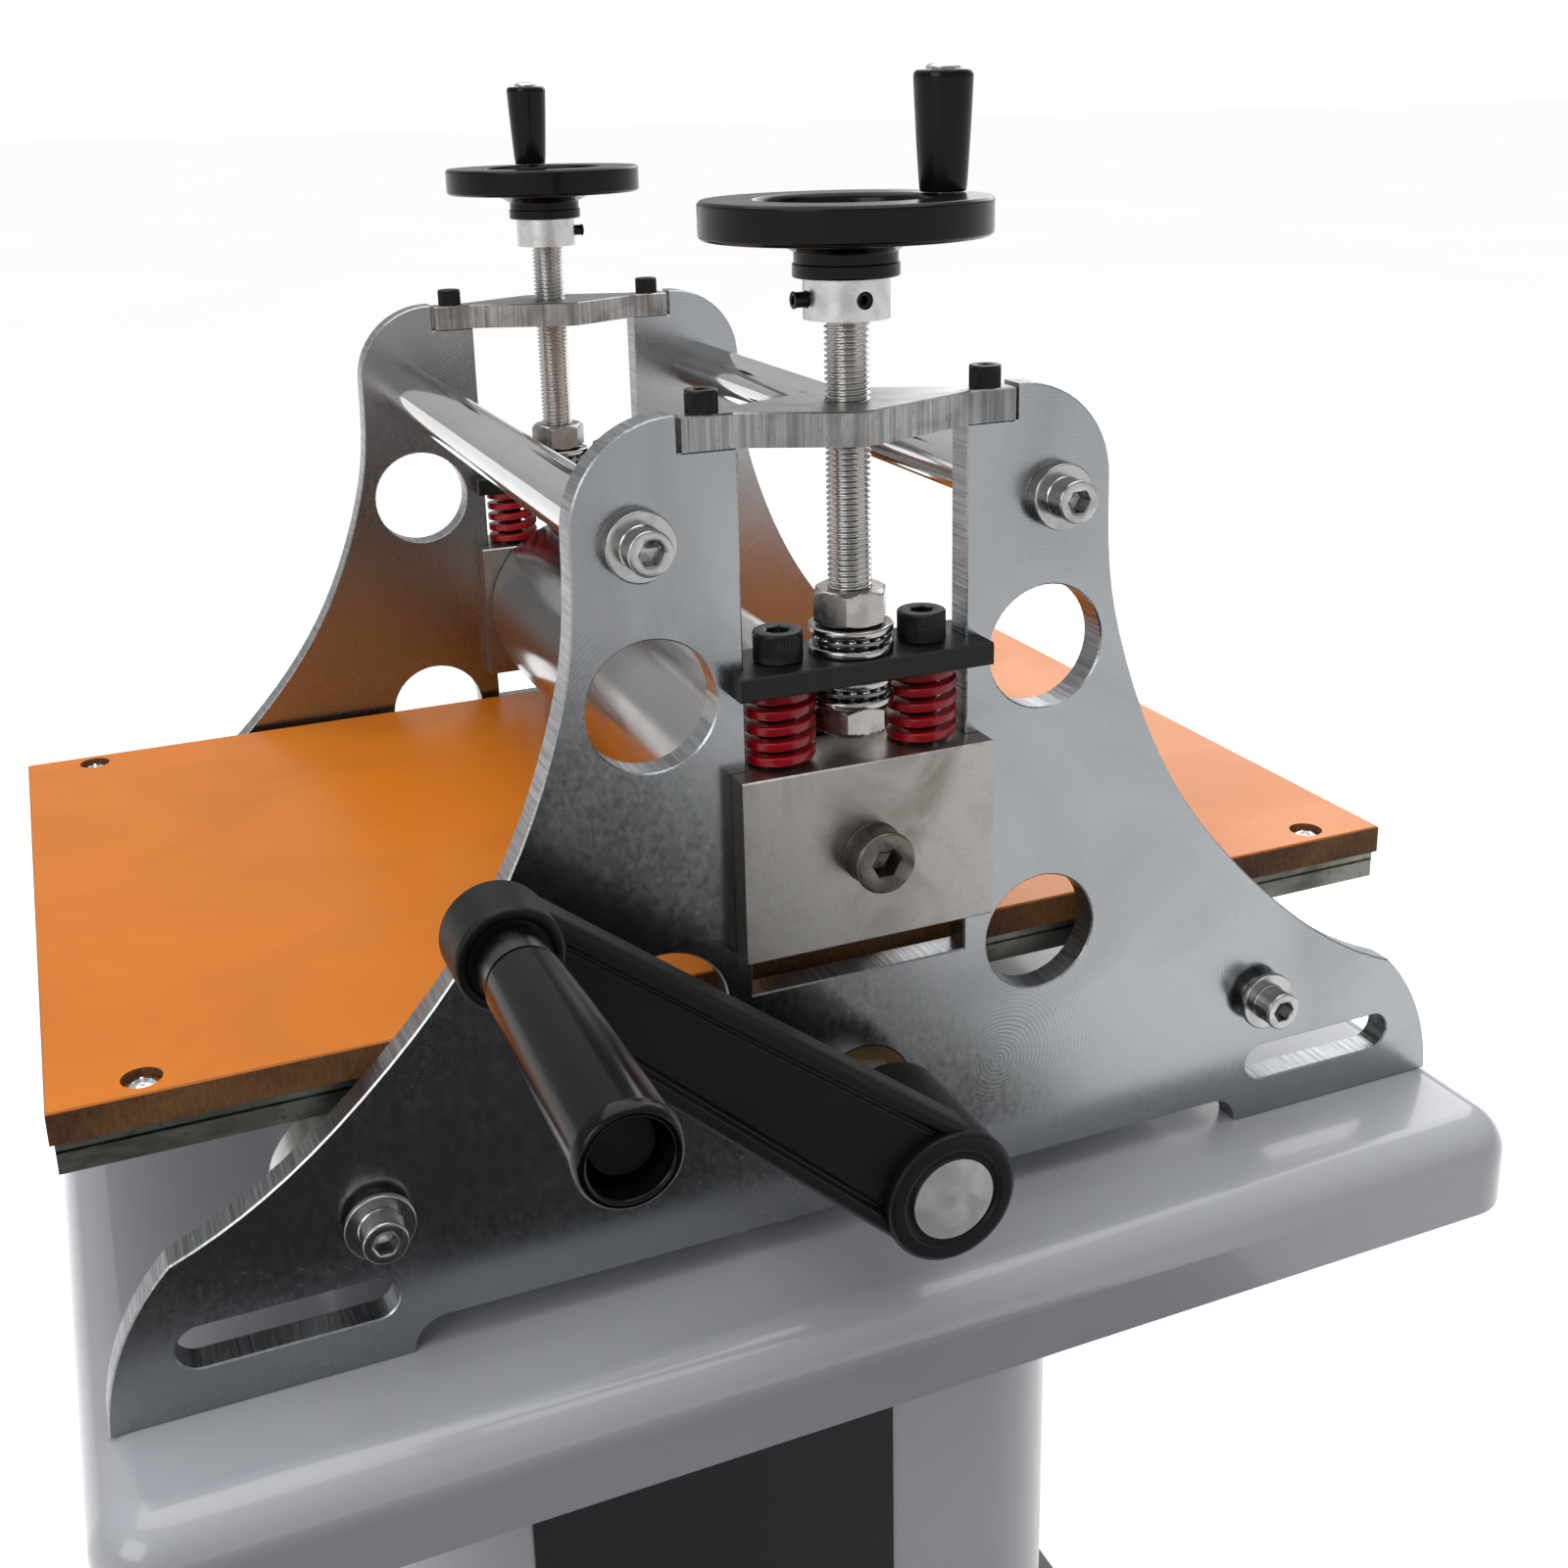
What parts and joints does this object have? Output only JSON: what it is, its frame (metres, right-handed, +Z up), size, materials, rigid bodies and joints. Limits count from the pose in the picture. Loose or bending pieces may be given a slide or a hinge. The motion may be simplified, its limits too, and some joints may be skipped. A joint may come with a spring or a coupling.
{
  "type": "roller press",
  "caption": "Hand-cranked roller press: a sliding bed between steel side plates, a sprung upper roller set by screw handwheels, on a tray and pedestal stand.",
  "frame": {"origin": "centre of the foot plate's underside, on the floor", "axes": "+X is the way the bed travels to the right, +Y runs along the rollers away from the crank, +Z is up"},
  "size_m": [0.586, 0.6373, 0.8796],
  "materials": {
    "painted_sheet": "gloss",
    "black_panel": "gloss",
    "painted_steel": "satin",
    "polished_plate": "polished",
    "chrome_rod": "mirror",
    "zinc_bolt": "satin",
    "bearing_steel": "satin",
    "roller_steel": "polished",
    "bronze": "satin",
    "ground_block": "ground",
    "black_oxide": "satin",
    "red_spring": "gloss",
    "screw_steel": "satin",
    "collar_alloy": "machined",
    "black_plastic": "gloss",
    "crank_black": "fine texture",
    "orange_board": "semi-gloss",
    "bed_steel": "mill scale",
    "screw_bright": "bright"
  },
  "bodies": {
    "root": {"bridge_bolts": "black_oxide", "bridge_plate_front": "polished_plate", "bridge_plate_rear": "polished_plate", "column_head": "painted_steel", "column_panel": "black_panel", "column_shell": "painted_sheet", "drive_bushes": "bronze", "foot_plate": "painted_steel", "idler_races": "bearing_steel", "lower_rod_bolts": "zinc_bolt", "lower_rod_left": "chrome_rod", "lower_rod_right": "chrome_rod", "lower_rod_washers": "zinc_bolt", "side_plate_front": "polished_plate", "side_plate_rear": "polished_plate", "stand_bolts": "zinc_bolt", "tray": "painted_sheet", "tray_rails": "painted_steel", "upper_rod_bolts": "zinc_bolt", "upper_rod_left": "chrome_rod", "upper_rod_right": "chrome_rod", "upper_rod_washers": "zinc_bolt"},
    "bed": {"bed_board": "orange_board", "bed_plate": "bed_steel", "bed_screws": "screw_bright"},
    "drive": {"drive_roller": "roller_steel", "crank_arm": "crank_black", "crank_key": "roller_steel", "crank_grip_pin": "roller_steel", "crank_ferrule": "collar_alloy"},
    "crank_handle": {"crank_grip": "black_plastic"},
    "left_idlers": {"idler_rings_left": "bearing_steel"},
    "right_idlers": {"idler_rings_right": "bearing_steel"},
    "pressure_bars": {"pressure_bar_front": "black_oxide", "pressure_bar_rear": "black_oxide", "die_springs_front": "red_spring", "die_springs_rear": "red_spring", "thrust_bearings": "bearing_steel"},
    "carriage": {"bearing_block_front": "ground_block", "bearing_block_rear": "ground_block", "carriage_bolts": "black_oxide", "axle_bolts": "ground_block", "roller_axle": "roller_steel"},
    "top_roller": {"upper_roller": "roller_steel", "roller_bushes": "bronze"},
    "front_screw": {"pressure_screw_front": "screw_steel", "screw_nuts_front": "screw_steel", "collar_front": "collar_alloy", "set_screws_front": "black_oxide", "handwheel_front": "black_plastic", "wheel_grip_pin_front": "collar_alloy"},
    "rear_screw": {"pressure_screw_rear": "screw_steel", "screw_nuts_rear": "screw_steel", "collar_rear": "collar_alloy", "set_screws_rear": "black_oxide", "handwheel_rear": "black_plastic", "wheel_grip_pin_rear": "collar_alloy"},
    "front_wheel_grip": {"wheel_grip_front": "black_plastic"},
    "rear_wheel_grip": {"wheel_grip_rear": "black_plastic"}
  },
  "joints": [
    {"name": "crank_turn", "type": "hinge", "parent": "root", "child": "drive", "pos_m": [0, 0, 0.4987], "axis": [0, 1, 0], "range_deg": [-285, 330]},
    {"name": "bed_slide", "type": "slide", "parent": "root", "child": "bed", "axis": [1, 0, 0], "range_m": [-0.165, 0.191]},
    {"name": "left_idler_spin", "type": "hinge", "parent": "root", "child": "left_idlers", "pos_m": [-0.187, 0, 0.4987], "axis": [0, 1, 0], "range_deg": [-286, 331]},
    {"name": "right_idler_spin", "type": "hinge", "parent": "root", "child": "right_idlers", "pos_m": [0.187, 0, 0.4987], "axis": [0, 1, 0], "range_deg": [-286, 331]},
    {"name": "crank_grip_spin", "type": "hinge", "parent": "drive", "child": "crank_handle", "pos_m": [-0.15101, -0.35, 0.62676], "axis": [0, 1, 0], "continuous": true},
    {"name": "pressure_lift", "type": "slide", "parent": "root", "child": "pressure_bars", "axis": [0, 0, 1], "range_m": [-0.001, 0.04]},
    {"name": "front_screw_turn", "type": "hinge", "parent": "pressure_bars", "child": "front_screw", "pos_m": [0, -0.189, 0.74], "axis": [0, 0, 1], "range_deg": [-180, 7200]},
    {"name": "rear_screw_turn", "type": "hinge", "parent": "pressure_bars", "child": "rear_screw", "pos_m": [0, 0.189, 0.74], "axis": [0, 0, 1], "range_deg": [-180, 7200]},
    {"name": "carriage_float", "type": "slide", "parent": "pressure_bars", "child": "carriage", "axis": [0, 0, 1], "range_m": [0, 0.003], "stiffness_N_per_m": 80000, "deforming": ["die_springs_front", "die_springs_rear"]},
    {"name": "top_roller_spin", "type": "hinge", "parent": "carriage", "child": "top_roller", "pos_m": [0, 0, 0.6054], "axis": [0, 1, 0], "continuous": true},
    {"name": "front_wheel_grip_spin", "type": "hinge", "parent": "front_screw", "child": "front_wheel_grip", "pos_m": [0.03795, -0.18701, 0.86], "axis": [0, 0, 1], "continuous": true},
    {"name": "rear_wheel_grip_spin", "type": "hinge", "parent": "rear_screw", "child": "rear_wheel_grip", "pos_m": [0.00397, 0.22679, 0.86], "axis": [0, 0, 1], "continuous": true}
  ],
  "couplings": [
    {"joint": "bed_slide", "follows": "crank_turn", "m_per_rad": 0.033},
    {"joint": "left_idler_spin", "follows": "crank_turn", "ratio": 1},
    {"joint": "right_idler_spin", "follows": "crank_turn", "ratio": 1},
    {"joint": "front_screw_turn", "follows": "pressure_lift", "rad_per_m": 3141.6},
    {"joint": "rear_screw_turn", "follows": "pressure_lift", "rad_per_m": 3141.6}
  ]
}
